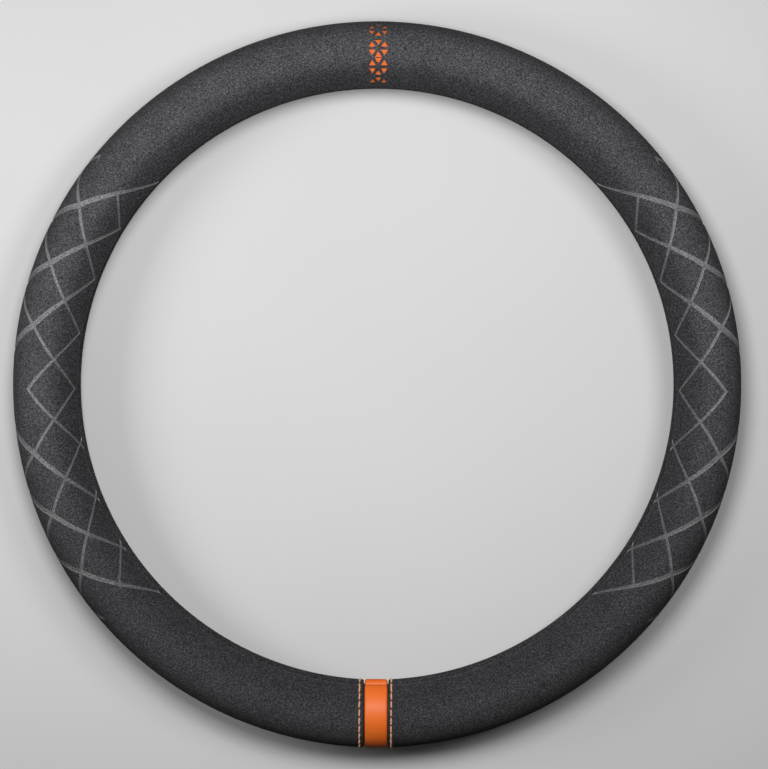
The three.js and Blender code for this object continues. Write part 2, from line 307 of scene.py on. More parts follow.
def line_run(cell, row, slope, end_row, width):
    """Pieces of one line, row by row, as (start, end, width at start, width at end). Past the outer
    edge the line turns back like its own mirror image."""
    rows = [row] + [k for k in range(len(ROW_PLACES)) if row < k < end_row] + [end_row]

    def place(r):
        at = cell + slope * (r if r <= OUTER_ROW else 2 * OUTER_ROW - r)
        return at * HALF_CELL, row_place(r)

    return [(place(a), place(b), width(a), width(b)) for a, b in zip(rows, rows[1:])]


def half_lattice(towards_top):
    """The lines of half a grip. Towards the top they meet by the lip in sharp corners, and towards
    the bottom they cross there and run on over the lip."""
    start = 0 if towards_top else -OVERRUN
    lines = line_run(8, -OVERRUN, -1, 4, wide)
    for cell in (6, 4):
        lines += line_run(cell, start, -1, 4, wide)
    for cell in (4, 2):
        lines += line_run(cell, start, 1, 4, thin)
    lines += line_run(0, 0, 1, 4, thin)
    lines += line_run(2, start, -1, 2, thin)
    lines += line_run(6, start, 1, 1, thin)
    # a last short line comes in beside the grip, just in front of the outer edge
    lines += line_run(10, 2.45, -1, OUTER_ROW, thin)
    return lines


lattice = []
for way in (-1, 1):
    for (x0, y0), (x1, y1), w0, w1 in half_lattice(towards_top=way > 0):
        lattice.append(((GRIP_MIDDLE + way * x0, y0), (GRIP_MIDDLE + way * x1, y1), w0, w1))

# the sharp corners: place along and across, which way the tip points across, first row and line width
corners = [(GRIP_MIDDLE, ROW_PLACES[2], -1, 1, thin(2))]
corners += [(GRIP_MIDDLE + cell * HALF_CELL, ROW_PLACES[0], 1, 0, thin(0)) for cell in (0, 2, 4, 6)]
print("the lattice has", len(lattice), "straight pieces and", len(corners), "sharp corners")

# %% [markdown]
# Each line is cut into the grid four times: along both its edges, and along both sides of its
# floor. The cuts give the pressed line crisp edges, which a fine even grid could only give with
# millions of faces.

# %% Cut the lattice into the strip
# a cut divides only the faces this near to it, in mm
GRIP_REACH = 9 * HALF_CELL
ROW_REACH = 2.5
LINE_REACH = 5
CORNER_REACH = 4
TIP_REACH = 3
TIP_SIDE_REACH = 2.4


def near_row(x, y):
    return abs(x - GRIP_MIDDLE) < GRIP_REACH and abs(y - place) < ROW_REACH


for place in ROW_PLACES:
    cut_line(strip, near_row, (0, place), (1, place))

for (x0, y0), (x1, y1), w0, w1 in lattice:
    length = math.hypot(x1 - x0, y1 - y0)
    tx, ty = (x1 - x0) / length, (y1 - y0) / length
    low, high = min(y0, y1), max(y0, y1)

    def near_line(x, y):
        if not low < y < high:
            return False
        t = (x - x0) * tx + (y - y0) * ty
        off = abs((x - x0) * -ty + (y - y0) * tx)
        return -LINE_REACH < t < length + LINE_REACH and off < LINE_REACH

    for side in (-1, 1):
        for inset in (0, WALL):
            a, b = side * (w0 / 2 - inset), side * (w1 / 2 - inset)
            cut_line(strip, near_line, (x0 - ty * a, y0 + tx * a), (x1 - ty * b, y1 + tx * b))

corner_sides = []
for cx, cy, tip, row, width in corners:
    run = ROW_PLACES[row] - ROW_PLACES[row + 1]
    length = math.hypot(HALF_CELL, run)
    outward = Vector((run, HALF_CELL)) / length
    corner_sides.append((cx, cy, tip, width, outward))

    def near_tip(x, y):
        return abs(x - cx) < CORNER_REACH and -TIP_REACH < (y - cy) * tip < TIP_REACH

    cut_line(strip, near_tip, (cx, cy), (cx, cy + 1))
    for side in (-1, 1):

        def beside_tip(x, y):
            return 0 < (y - cy) * tip < TIP_SIDE_REACH and -0.01 < (x - cx) * side < CORNER_REACH

        for off in (width / 2, width / 2 - WALL):
            px, py = cx + side * outward.x * off, cy + tip * outward.y * off
            cut_line(strip, beside_tip, (px, py), (px - side * outward.y, py + tip * outward.x))
bpy.ops.object.mode_set(mode="OBJECT")
print("with the lattice it has", len(strip.data.polygons), "faces")


# %% [markdown]
# Now the cut places are pressed down. How far a vertex goes depends on how far it lies inside the
# nearest line, so crossing lines join in one level floor. The same number is kept on the mesh as an
# attribute, because pressed suede is also lighter, and the material has to know where.

# %% Press the lines
END_REACH = 2  # a line presses this far past its ends, in mm


def pressed_share(places):
    """1 on the floor of a pressed line, 0 outside it, for flat places in mm."""
    share = np.zeros(len(places))
    for (x0, y0), (x1, y1), w0, w1 in lattice:
        length = math.hypot(x1 - x0, y1 - y0)
        tx, ty = (x1 - x0) / length, (y1 - y0) / length
        t = (places[:, 0] - x0) * tx + (places[:, 1] - y0) * ty
        off = np.abs((places[:, 0] - x0) * -ty + (places[:, 1] - y0) * tx)
        half = (w0 + (w1 - w0) * np.clip(t / length, 0, 1)) / 2
        inside = (places[:, 1] > min(y0, y1) - 0.01) & (places[:, 1] < max(y0, y1) + 0.01)
        inside &= (t > -END_REACH) & (t < length + END_REACH)
        share = np.maximum(share, np.where(inside, np.clip((half - off) / WALL, 0, 1), 0))
    for cx, cy, tip, width, outward in corner_sides:
        past = (places[:, 1] - cy) * tip
        off = np.abs(places[:, 0] - cx) * outward.x + past * outward.y
        inside = (past > -0.01) & (off < TIP_REACH)
        share = np.maximum(share, np.where(inside, np.clip((width / 2 - off) / WALL, 0, 1), 0))
    return share


flat = vertex_array(strip) / MM
share = pressed_share(flat)
flat[:, 2] -= PRESS_DEPTH * share
set_vertices(strip, flat * MM)
strip.data.attributes.new("pressed", "FLOAT", "POINT").data.foreach_set("value", share)
print("pressed vertices:", int((share > 0.5).sum()))

# %% [markdown]
# The strip is finished by its mirror image, and a plain piece of grid closes the top, where the
# triangles are punched. Its rows are the same, so the pieces join vertex to vertex.

# %% Mirror the strip and make its top
make_active(strip)
mirror = strip.modifiers.new("other half", "MIRROR")
mirror.use_mirror_merge = False
bpy.ops.object.modifier_apply(modifier=mirror.name)

top = flat_grid("suede_skin_top", spread(-COLUMN_HALF, COLUMN_HALF, 8), strip_rows)
top.data.attributes.new("pressed", "FLOAT", "POINT")

# %% [markdown]
# Beside the band the cut edge of the suede is folded down, and each stitch draws the suede in. Each
# row of stitches lies in a soft valley with a dimple at every needle hole. The rows run on over the
# lips, where the suede turns inside. In the flat pattern the right half of the ring has negative X.

# %% Fold the edges and draw in the stitches
ROW_OFFSETS = {"stitching_left": 8.75, "stitching_right": 8.05}
STITCH_STEP = 4.6
STITCH_COUNT = 23
VALLEY_DEPTH = 0.36
VALLEY_WIDTH = 0.7
DIMPLE_DEPTH = 0.9
DIMPLE_WIDTH = 0.5
SEWN_TO = 4  # the valley begins to fade this far before the end of the lip, in mm
SEWN_FADED = 2
FOLD = 1.1


def fold_depth(from_edge):
    """How far an edge that is folded down in a quarter circle lies below the sheet, in mm."""
    fold = np.clip(FOLD - from_edge, 0, FOLD)
    return FOLD - np.sqrt(np.maximum(FOLD**2 - fold**2, 0))


flat = vertex_array(strip) / MM
from_middle = ring_half - np.abs(flat[:, 0])
flat[:, 2] -= fold_depth(from_middle - seam)
row_offset = np.where(flat[:, 0] > 0, ROW_OFFSETS["stitching_left"], ROW_OFFSETS["stitching_right"])
off_row = from_middle - row_offset
sewn = smoothstep(LIP_END - SEWN_FADED, LIP_END - SEWN_TO, np.abs(flat[:, 1]))
flat[:, 2] -= VALLEY_DEPTH * np.exp(-((off_row / VALLEY_WIDTH) ** 2)) * sewn
to_hole = np.abs((flat[:, 1] / STITCH_STEP + 0.5 * (STITCH_COUNT % 2) + 0.5) % 1 - 0.5) * STITCH_STEP
flat[:, 2] -= DIMPLE_DEPTH * np.exp(-(off_row**2 + to_hole**2) / DIMPLE_WIDTH**2) * sewn
set_vertices(strip, flat * MM)
print(STITCH_COUNT, "stitches of", STITCH_STEP, "mm to a row")

# %% [markdown]
# A die punches the triangles: six of them in a wheel, and the wheels one above another. In the flat
# pattern each triangle is cut along its three sides, and the faces inside are deleted.

# %% Punch the triangles
TRIANGLE = 3.8
TRIANGLE_GRID = 6.3
WHEEL_ANGLES = (142, 108.5, 78, 41.5, 5, -29, -63, -97, -130)
REACH_ALONG = 4.2
REACH_ACROSS = 3.8
PUNCHED_HALF = 9.5
PUNCHED_THICKNESS = 0.8

row_height = TRIANGLE_GRID * math.sqrt(3) / 2
corner_reach = TRIANGLE / math.sqrt(3)
triangles = []
for angle in WHEEL_ANGLES:
    middle = SECTION * math.radians(angle)
    for up in (-1, 1):
        triangles.append((0, middle + up * row_height * 2 / 3, -up))
        for side in (-1, 1):
            triangles.append((side * TRIANGLE_GRID / 2, middle + up * row_height / 3, up))
triangles = [t for t in triangles if abs(t[1]) < LIP_START - corner_reach]

make_active(top)
bpy.ops.object.mode_set(mode="EDIT")
bpy.ops.mesh.select_mode(type="FACE")
for cx, cy, pointing in triangles:
    tips = []
    for a in (90, 210, 330):
        across, up = math.cos(math.radians(a)), math.sin(math.radians(a))
        tips.append((cx + corner_reach * across, cy + pointing * corner_reach * up))
    sides = list(zip(tips, tips[1:] + tips[:1]))

    def near_triangle(x, y):
        return abs(x - cx) < REACH_ALONG and abs(y - cy) < REACH_ACROSS

    for start, end in sides:
        cut_line(top, near_triangle, start, end)

    def inside(x, y):
        for (ax, ay), (bx, by) in sides:
            if pointing * ((bx - ax) * (y - ay) - (by - ay) * (x - ax)) < 0:
                return False
        return True

    select_faces(top, inside)
    bpy.ops.mesh.delete(type="FACE")
bpy.ops.object.mode_set(mode="OBJECT")
print(len(triangles), "triangles punched")

# %% [markdown]
# The parts of the strip are joined, given their thickness while they are flat, and wrapped.

# %% Join and wrap the suede
SUEDE_SMOOTH_ANGLE = 32

make_active(strip)
top.select_set(True)
bpy.ops.object.join()
suede = strip
suede.name = suede.data.name = "suede_skin_visual"
clean_mesh(merge_within=2e-6)
if suede.data.polygons[0].normal.z < 0:
    suede.data.flip_normals()
thicken(suede, SKIN_THICKNESS)

# the punched part is skived thin from below
flat = vertex_array(suede) / MM
under = flat[:, 2] < -SKIN_THICKNESS + 0.01
thinned = under & (np.abs(flat[:, 0]) < PUNCHED_HALF)
flat[thinned, 2] = -PUNCHED_THICKNESS
set_vertices(suede, flat * MM)

# painted shade, which the suede's material reads: darker towards the lips, a little along the outer
# edge and towards the band; the pairs are angles where it changes
INNER_SIDE = (86, 120)
OUTER_EDGE = (15, 62)
LOWER_HALF = (50, 100)
INNER_SHADE_LESS_BELOW = 0.6
OUTER_EDGE_SHADE = 0.6
OUTER_SHADE_MORE_BELOW = 0.1
LOWER_HALF_SHADE = 0.62
LIP_HIGHLIGHT_PLACE = 1.3
LIP_HIGHLIGHT_WIDTH = 0.9

round_section = np.degrees(np.abs(flat[:, 1]) / SECTION)
from_band = np.degrees(np.pi - np.abs(flat[:, 0]) / RING_MID)
lower_half = 1 - smoothstep(*LOWER_HALF, from_band)
inner_shade = smoothstep(*INNER_SIDE, round_section) * (1 - INNER_SHADE_LESS_BELOW * lower_half)
outer_edge_shade = (1 - smoothstep(*OUTER_EDGE, round_section)) * (OUTER_EDGE_SHADE + OUTER_SHADE_MORE_BELOW * lower_half)
painted_shade = inner_shade + outer_edge_shade + LOWER_HALF_SHADE * lower_half
# a painted highlight: a thin lighter line along the turn of each lip, where the painted shade is taken away
lip_highlight = np.exp(-(((np.abs(flat[:, 1]) - LIP_START - LIP_HIGHLIGHT_PLACE) / LIP_HIGHLIGHT_WIDTH) ** 2))
suede.data.attributes.new("painted_shade", "FLOAT", "POINT").data.foreach_set("value", painted_shade * (1 - lip_highlight))
wrap(suede)
smooth(SUEDE_SMOOTH_ANGLE)
print("the suede has", sum(len(p.vertices) - 2 for p in suede.data.polygons), "triangles")

# %% [markdown]
# The leather band is the same kind of strip, short and smooth. It is a little fuller in its middle,
# and its long edges are turned down into the seams.

# %% The leather band
BAND_FOLD = 1.2
BAND_FULLNESS = 0.18

band_edges = [0, 0.08, 0.2, 0.4, 0.7, 1.1, 1.6, 2.4, 3.4, 4.7]
band_columns = [-BAND_HALF + d for d in band_edges] + [0] + [BAND_HALF - d for d in reversed(band_edges)]
band_rows = [-y for y in reversed(lip_rows)] + spread(-LIP_START, LIP_START, 110) + lip_rows
band = flat_grid("leather_band_visual", band_columns, band_rows)
flat = vertex_array(band) / MM
flat[:, 2] -= BAND_FOLD * fold_depth(BAND_HALF - np.abs(flat[:, 0]))
flat[:, 2] += BAND_FULLNESS * (1 - (flat[:, 0] / BAND_HALF) ** 2)
flat[:, 0] += ring_half
set_vertices(band, flat * MM)
thicken(band, SKIN_THICKNESS)
wrap(band)
smooth()

# %% [markdown]
# Each stitch is a short length of twisted thread that comes up out of one needle hole and goes down
# into the next. One stitch is modelled flat: two plies are made as a cylinder each, and their rings
# of vertices are moved along a helix. Then it is copied along both rows and wrapped like the suede.

# %% One stitch
THREAD = 0.95
PLY_SIDES = 8
STITCH_RINGS = 22
PLY_LAY = 0.2  # how far a ply lies from the thread's middle, as a share of the thread
PLY_RADIUS = 0.34
HALF_STITCH = 0.44  # as a share of a step
TWIST = 2.2  # half turns from the stitch's middle to each end
END_TAPER = 0.9
STITCH_RISE = 0.16
STITCH_DIVE = 1.3


def stitch_mesh():
    """Two plies twisted round one another, along Y, from hole to hole."""
    start_object()
    plies = []
    for ply in range(2):
        bpy.ops.mesh.primitive_cylinder_add(vertices=PLY_SIDES, radius=1, depth=2, end_fill_type="NGON")
        obj = bpy.context.object
        bpy.ops.object.mode_set(mode="EDIT")
        bpy.ops.mesh.select_all(action="DESELECT")
        mesh = bmesh.from_edit_mesh(obj.data)
        for edge in mesh.edges:
            edge.select = abs(edge.verts[0].co.z - edge.verts[1].co.z) > 1
        mesh.select_flush(False)
        bmesh.update_edit_mesh(obj.data)
        bpy.ops.mesh.subdivide(number_cuts=STITCH_RINGS - 1)
        bpy.ops.object.mode_set(mode="OBJECT")
        places = vertex_array(obj)
        t = places[:, 2]
        swell = np.sqrt(np.clip(1 - (np.abs(t) * END_TAPER) ** 6, 0, 1))
        twist = ply * math.pi + t * math.pi * TWIST
        lay = THREAD * PLY_LAY * swell
        own = THREAD * PLY_RADIUS * swell
        length = STITCH_STEP * HALF_STITCH
        x = lay * np.cos(twist) + own * places[:, 0]
        z = lay * np.sin(twist) + own * places[:, 1] + STITCH_RISE - STITCH_DIVE * np.abs(t) ** 6
        set_vertices(obj, np.stack([x, t * length, z], axis=1) * MM)
        plies.append(obj)
    make_active(plies[0])
    plies[1].select_set(True)
    bpy.ops.object.join()
    obj = bpy.context.object
    bpy.ops.object.shade_smooth()
    clean_mesh()
    return obj


one_stitch = stitch_mesh()
print("one stitch has", len(one_stitch.data.polygons), "faces")

# %% Sew both rows
LEAN = 3
LEAN_SPREAD = 1.2
LIFT_SPREAD = 0.02

rng = np.random.default_rng(7)
stitch_rows = {}
for name, side in (("stitching_left", -1), ("stitching_right", 1)):
    row = []
    offset = ROW_OFFSETS[name]
    for k in range(STITCH_COUNT):
        copy = one_stitch.copy()
        copy.data = one_stitch.data.copy()
        bpy.context.collection.objects.link(copy)
        places = vertex_array(copy) / MM
        lean = math.radians(side * LEAN + rng.normal(0, LEAN_SPREAD))
        x = places[:, 0] * math.cos(lean) - places[:, 1] * math.sin(lean)
        y = places[:, 0] * math.sin(lean) + places[:, 1] * math.cos(lean)
        places[:, 0] = x + side * (offset - ring_half)
        places[:, 1] = y + (k + 0.5 - STITCH_COUNT / 2) * STITCH_STEP
        places[:, 2] += rng.normal(0, LIFT_SPREAD)
        set_vertices(copy, places * MM)
        row.append(copy)
    make_active(row[0])
    for stitch in row[1:]:
        stitch.select_set(True)
    bpy.ops.object.join()
    piece = bpy.context.object
    piece.name = piece.data.name = name + "_visual"
    wrap(piece)
    stitch_rows[name] = piece
bpy.data.objects.remove(one_stitch)

# %% [markdown]
# The orange sheet behind the triangles is a small strip of its own, wrapped just under the suede.

# %% The backing of the punched column
BACKING_HALF = 6.6
BACKING_THICKNESS = 0.5
BACKING_GAP = 0.05
BACKING_SHORT = 0.5  # how far its ends lie from the lips, in mm

backing_rows = spread(BACKING_SHORT - LIP_START, LIP_START - BACKING_SHORT, 60)
backing = flat_grid("perforation_backing_visual", spread(-BACKING_HALF, BACKING_HALF, 6), backing_rows)
flat = vertex_array(backing) / MM
flat[:, 2] -= PUNCHED_THICKNESS + BACKING_GAP
set_vertices(backing, flat * MM)
thicken(backing, BACKING_THICKNESS)
wrap(backing)
smooth()

# %% [markdown]
# The rubber ring is moulded, so it is a turned shape. Its outline is drawn once as a closed loop of
# vertices and spun round the ring's axis. Low ribs run round its inside, and thin lips carry the hem.

# %% The rubber ring
RUBBER_OUTSIDE = 16.0
RUBBER_INSIDE = 13.8
RUBBER_LIP = 14.4
RIB_ANGLES = (-60, 0, 60)
RIB_HALF = 3.2  # degrees round the section
RIB_HEIGHT = 0.8
GRIP_HEIGHT = 0.12
GRIP_WAVES = 60
HEM_ANGLE = LIP_ANGLE - math.degrees(HEM_LENGTH / HEM_DISTANCE)
LIP_PAST_HEM = 4  # the thin lip runs this far on past the hem, in degrees
RIBBED_PAST_HEM = 8


def rubber_outline():
    outer = [(RUBBER_OUTSIDE, a) for a in spread(-LIP_ANGLE, LIP_ANGLE, 48)]
    middle, half = (RUBBER_OUTSIDE + RUBBER_LIP) / 2, (RUBBER_OUTSIDE - RUBBER_LIP) / 2
    inner = [(RUBBER_LIP, a) for a in spread(LIP_ANGLE, HEM_ANGLE - LIP_PAST_HEM, 6)]
    for a in spread(HEM_ANGLE - RIBBED_PAST_HEM, -(HEM_ANGLE - RIBBED_PAST_HEM), 110):
        rib = max(math.exp(-(((a - r) / RIB_HALF) ** 4)) for r in RIB_ANGLES)
        grip = GRIP_HEIGHT * (0.5 + 0.5 * math.cos(math.radians(a) * GRIP_WAVES))
        inner.append((RUBBER_INSIDE - RIB_HEIGHT * rib - grip, a))
    inner += [(RUBBER_LIP, a) for a in spread(-(HEM_ANGLE - LIP_PAST_HEM), -LIP_ANGLE, 6)]

    def points_at(places):
        return [(d * math.cos(math.radians(a)), d * math.sin(math.radians(a))) for d, a in places]

    def turn(angle, way):
        cx, cz = middle * math.cos(math.radians(angle)), middle * math.sin(math.radians(angle))
        result = []
        for k in range(1, 6):
            t = math.radians(angle) + way * math.pi * k / 6
            result.append((cx + half * math.cos(t), cz + half * math.sin(t)))
        return result

    points = points_at(outer) + turn(LIP_ANGLE, 1)
    points += points_at(inner) + turn(-LIP_ANGLE, -1)[::-1]
    return [(RING_MID + x, SECTION_HEIGHT + z) for x, z in points]


outline = rubber_outline()
start_object()
bpy.ops.mesh.primitive_circle_add(vertices=len(outline), radius=1)
rubber = bpy.context.object
rubber.name = rubber.data.name = "rubber_ring_visual"
set_vertices(rubber, np.array([(r * MM, 0, z * MM) for r, z in outline]))
bpy.ops.object.mode_set(mode="EDIT")
bpy.ops.mesh.select_all(action="SELECT")
bpy.ops.mesh.spin(steps=180, angle=2 * math.pi, center=(0, 0, 0), axis=(0, 0, 1))
bpy.ops.object.mode_set(mode="OBJECT")
clean_mesh(merge_within=1e-6)
smooth()
print("the rubber ring has", len(rubber.data.polygons), "faces")


# %% [markdown]
# Every finish is made of nodes. A small helper adds a node, sets its values and joins it up, so that
# a material reads from top to bottom like the layers of the real finish.

# %% Helpers for materials
def new_material(name):
    """A material with its shader, and the object's own coordinates for its patterns."""
    material = bpy.data.materials.new(name)
    material.use_nodes = True
    nodes = material.node_tree.nodes
    nodes.clear()
    shader = nodes.new("ShaderNodeBsdfPrincipled")
    output = nodes.new("ShaderNodeOutputMaterial")
    material.node_tree.links.new(shader.outputs["BSDF"], output.inputs["Surface"])
    return material, shader, add_node(material, "ShaderNodeTexCoord").outputs["Object"]


def set_inputs(material, node, inputs):
    """Each input is given either a value or another node's output."""
    for socket, value in inputs.items():
        if isinstance(value, bpy.types.NodeSocket):
            material.node_tree.links.new(value, node.inputs[socket])
        else:
            node.inputs[socket].default_value = value


def add_node(material, kind, inputs=None, **settings):
    node = material.node_tree.nodes.new(kind)
    for key, value in settings.items():
        setattr(node, key, value)
    set_inputs(material, node, inputs or {})
    return node


def noise(material, coordinates, scale, detail, roughness, distortion=0.0):
    inputs = {"Vector": coordinates, "Scale": scale, "Detail": detail, "Roughness": roughness}
    inputs["Distortion"] = distortion
    return add_node(material, "ShaderNodeTexNoise", inputs).outputs["Fac"]


def ramp(material, value, stops):
    """A colour ramp through (place, colour) stops."""
    node = add_node(material, "ShaderNodeValToRGB", {"Fac": value})
    elements = node.color_ramp.elements
    while len(elements) < len(stops):
        elements.new(0.5)
    for element, (place, colour) in zip(elements, stops):
        element.position = place
        element.color = (*colour, 1)
    return node.outputs["Color"]


def mix_colour(material, share, low, high, blend="MIX"):
    node = material.node_tree.nodes.new("ShaderNodeMix")
    node.data_type = "RGBA"
    node.blend_type = blend
    sockets = {"Factor": node.inputs[0], "A": node.inputs[6], "B": node.inputs[7]}
    for key, value in (("Factor", share), ("A", low), ("B", high)):
        if isinstance(value, bpy.types.NodeSocket):
            material.node_tree.links.new(value, sockets[key])
        else:
            sockets[key].default_value = value if key == "Factor" else (*value, 1)
    return node.outputs[2]


def calculate(material, operation, first, second):
    return add_node(material, "ShaderNodeMath", {0: first, 1: second}, operation=operation).outputs[0]


def weighted_sum(material, parts):
    total = None
    for value, weight in parts:
        part = calculate(material, "MULTIPLY", value, weight)
        total = part if total is None else calculate(material, "ADD", total, part)
    return total


def bump(material, height, strength, distance):
    inputs = {"Height": height, "Strength": strength, "Distance": distance}
    return add_node(material, "ShaderNodeBump", inputs).outputs["Normal"]


def give(obj, material):
    obj.data.materials.clear()
    obj.data.materials.append(material)


# %% [markdown]
# Suede is a mat of very short fibres. Brushing lays them this way and that, so the colour is never
# even: it has soft patches a finger wide, mottling of about a millimetre, and single lighter fibres.
# Where the lattice is pressed, the fibres lie flat and close, so the line is lighter, and its walls
# get a painted highlight.
# Shade is painted into the colour: the suede is darker towards the lips, a little darker along the
# outer edge, and darker towards the band at the bottom, where the light falls off. The front and back
# are left as they are. A thin painted highlight lies along the turn of each lip.

# %% Suede
PRESSED_TONE = 0.92
WALL_HIGHLIGHT_TONE = 3.6
PAINTED_SHADE_TONE = 0.48

suede_finish, shader, place = new_material("charcoal_suede")
patches = noise(suede_finish, place, 60, 3, 0.55)
mottle = noise(suede_finish, place, 1150, 2, 0.7, 0.4)
flecks = noise(suede_finish, place, 2300, 1, 0.7, 1.0)
nap = weighted_sum(suede_finish, [(mottle, 0.55), (flecks, 0.45), (patches, 0.06)])
colour = ramp(
    suede_finish,
    nap,
    [(0.38, (0.021, 0.021, 0.023)), (0.525, (0.060, 0.060, 0.064)), (0.655, (0.165, 0.165, 0.174))],
)
pressed = add_node(suede_finish, "ShaderNodeAttribute", attribute_name="pressed").outputs["Fac"]
line_nap = weighted_sum(suede_finish, [(mottle, 0.35), (flecks, 0.65)])
line_colour = ramp(suede_finish, line_nap, [(0.38, (0.065, 0.065, 0.068)), (0.60, (0.37, 0.37, 0.38))])
line_share = calculate(suede_finish, "MULTIPLY", pressed, PRESSED_TONE)
colour = mix_colour(suede_finish, line_share, colour, line_colour)
# a painted highlight on the walls of each pressed line, where the pressed share lies between 0 and 1
wall_highlight = calculate(suede_finish, "MULTIPLY", pressed, calculate(suede_finish, "SUBTRACT", 1.0, pressed))
wall_highlight = calculate(suede_finish, "MULTIPLY", wall_highlight, WALL_HIGHLIGHT_TONE)
wall_highlight = calculate(suede_finish, "MULTIPLY", wall_highlight, line_nap)
colour = mix_colour(suede_finish, wall_highlight, colour, (0.48, 0.48, 0.49))
# painted shade: the colour is darkened towards near black where the mesh's painted shade attribute says
shade_share = add_node(suede_finish, "ShaderNodeAttribute", attribute_name="painted_shade").outputs["Fac"]
shade_share = calculate(suede_finish, "MULTIPLY", shade_share, PAINTED_SHADE_TONE)
colour = mix_colour(suede_finish, shade_share, colour, (0.005, 0.005, 0.006))
suede_look = {
    "Base Color": colour,
    "Roughness": 0.95,
    "Specular IOR Level": 0.1,
    "Sheen Weight": 0.06,
    "Sheen Roughness": 0.4,
    "Sheen Tint": (0.8, 0.8, 0.85, 1),
    "Normal": bump(suede_finish, nap, 0.6, 0.0005),
}
set_inputs(suede_finish, shader, suede_look)
give(suede, suede_finish)

# %% [markdown]
# The band is smooth leather with a fine grain of tiny cells, a little darker between them.

# %% Leather
leather_finish, shader, place = new_material("orange_leather")
grid = {"Vector": place, "Scale": 1500.0, "Randomness": 1.0}
cells = add_node(leather_finish, "ShaderNodeTexVoronoi", grid, feature="DISTANCE_TO_EDGE").outputs["Distance"]
cloud = noise(leather_finish, place, 120, 3, 0.5)
colour = ramp(leather_finish, cloud, [(0.3, (0.97, 0.165, 0.016)), (0.7, (1.0, 0.205, 0.028))])
creases = ramp(leather_finish, cells, [(0.0, (0.75, 0.75, 0.75)), (0.06, (1, 1, 1))])
colour = mix_colour(leather_finish, 0.5, colour, creases, "MULTIPLY")
leather_look = {"Base Color": colour, "Roughness": 0.46, "Specular IOR Level": 0.42}
leather_look["Normal"] = bump(leather_finish, cells, 0.25, 0.0002)
set_inputs(leather_finish, shader, leather_look)
give(band, leather_finish)

# %% [markdown]
# The thread is bonded polyester, a bundle of fine filaments with a slight shine. Noise finer than a
# ply stands for the filaments.

# %% Thread
thread_finish, shader, place = new_material("light_orange_thread")
filaments = noise(thread_finish, place, 5000, 2, 0.6, 2.0)
colour = ramp(thread_finish, filaments, [(0.3, (0.62, 0.30, 0.17)), (0.7, (0.95, 0.58, 0.38))])
thread_look = {"Base Color": colour, "Roughness": 0.5, "Sheen Weight": 0.15}
thread_look["Normal"] = bump(thread_finish, filaments, 0.4, 0.0001)
set_inputs(thread_finish, shader, thread_look)
for piece in stitch_rows.values():
    give(piece, thread_finish)

# %% [markdown]
# The sheet behind the triangles is a fine woven cloth, in the leather's orange.

# %% Backing cloth
backing_finish, shader, place = new_material("orange_backing_cloth")
threads = {"Vector": place, "Scale": 700.0, "Distortion": 0.6, "Detail": 1.0}
weave = add_node(backing_finish, "ShaderNodeTexWave", threads, bands_direction="X").outputs["Fac"]
colour = ramp(backing_finish, weave, [(0.0, (0.85, 0.12, 0.012)), (1.0, (1.0, 0.25, 0.045))])
cloth_look = {"Base Color": colour, "Roughness": 0.75, "Normal": bump(backing_finish, weave, 0.4, 0.0002)}
set_inputs(backing_finish, shader, cloth_look)
give(backing, backing_finish)

# %% [markdown]
# The rubber is black and matt, with a very fine moulded texture and a slight grey bloom in patches.

# %% Rubber
rubber_finish, shader, place = new_material("black_rubber")
bloom = noise(rubber_finish, place, 70, 4, 0.6)
grain = noise(rubber_finish, place, 2500, 2, 0.5)
colour = ramp(rubber_finish, bloom, [(0.35, (0.020, 0.020, 0.020)), (0.7, (0.042, 0.042, 0.043))])
rubber_look = {"Base Color": colour, "Roughness": 0.62, "Normal": bump(rubber_finish, grain, 0.35, 0.0002)}
set_inputs(rubber_finish, shader, rubber_look)
give(rubber, rubber_finish)

# %% [markdown]
# Each piece now takes the place of the plain solid that it stands for, and rides with the part.

# %% Put the pieces in the frame
visible = {
    "suede": (suede, ["suede_skin_left", "suede_skin_right"]),
    "leather": (band, ["leather_band"]),
    "backing": (backing, ["perforation_backing"]),
    "rubber": (rubber, ["rubber_ring_left", "rubber_ring_right"]),
}
for finish, (piece, nodes) in visible.items():
    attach(piece, "root")
    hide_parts(*nodes)
for node, piece in stitch_rows.items():
    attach(piece, "root")
    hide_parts(node)

# %% [markdown]
# The suede, the band and the backing are cut flat and then held stretched over the rubber.

# %% [markdown]
# The cover lies on a plain pale floor. To the camera the floor is pale, and to the light that
# bounces about it is dark, like the cloth that such a cover is often shown on, so the sides of the
# cover aren't washed out from below. Far from the cover the floor fades into an even pale paper, which
# only the camera sees and which lights nothing, and the surround behind it has the same tone.

# %% Floor
FADE_START = 0.3
FADE_END = 0.75
PAPER_TONE = (0.5, 0.5, 0.5)
BOUNCE_TONE = (0.06, 0.06, 0.06)

start_object()
bpy.ops.mesh.primitive_plane_add(size=6, location=(0, 0, 0))
floor = bpy.context.object
floor.name = "studio_floor"
floor_finish, shader, floor_place = new_material("pale_floor")
floor_tone = noise(floor_finish, floor_place, 3, 3, 0.5)
floor_colour = ramp(floor_finish, floor_tone, [(0.3, (0.70, 0.70, 0.70)), (0.7, (0.74, 0.74, 0.74))])
path = add_node(floor_finish, "ShaderNodeLightPath").outputs
seen = calculate(floor_finish, "MAXIMUM", path["Is Camera Ray"], path["Is Transmission Ray"])
floor_colour = mix_colour(floor_finish, seen, BOUNCE_TONE, floor_colour)
set_inputs(floor_finish, shader, {"Base Color": floor_colour, "Roughness": 0.9})
distance = add_node(floor_finish, "ShaderNodeVectorMath", {0: floor_place}, operation="LENGTH")
span = {"Value": distance.outputs["Value"], "From Min": FADE_START, "From Max": FADE_END}
far = add_node(floor_finish, "ShaderNodeMapRange", span, interpolation_type="SMOOTHSTEP").outputs["Result"]
far = calculate(floor_finish, "MULTIPLY", far, path["Is Camera Ray"])
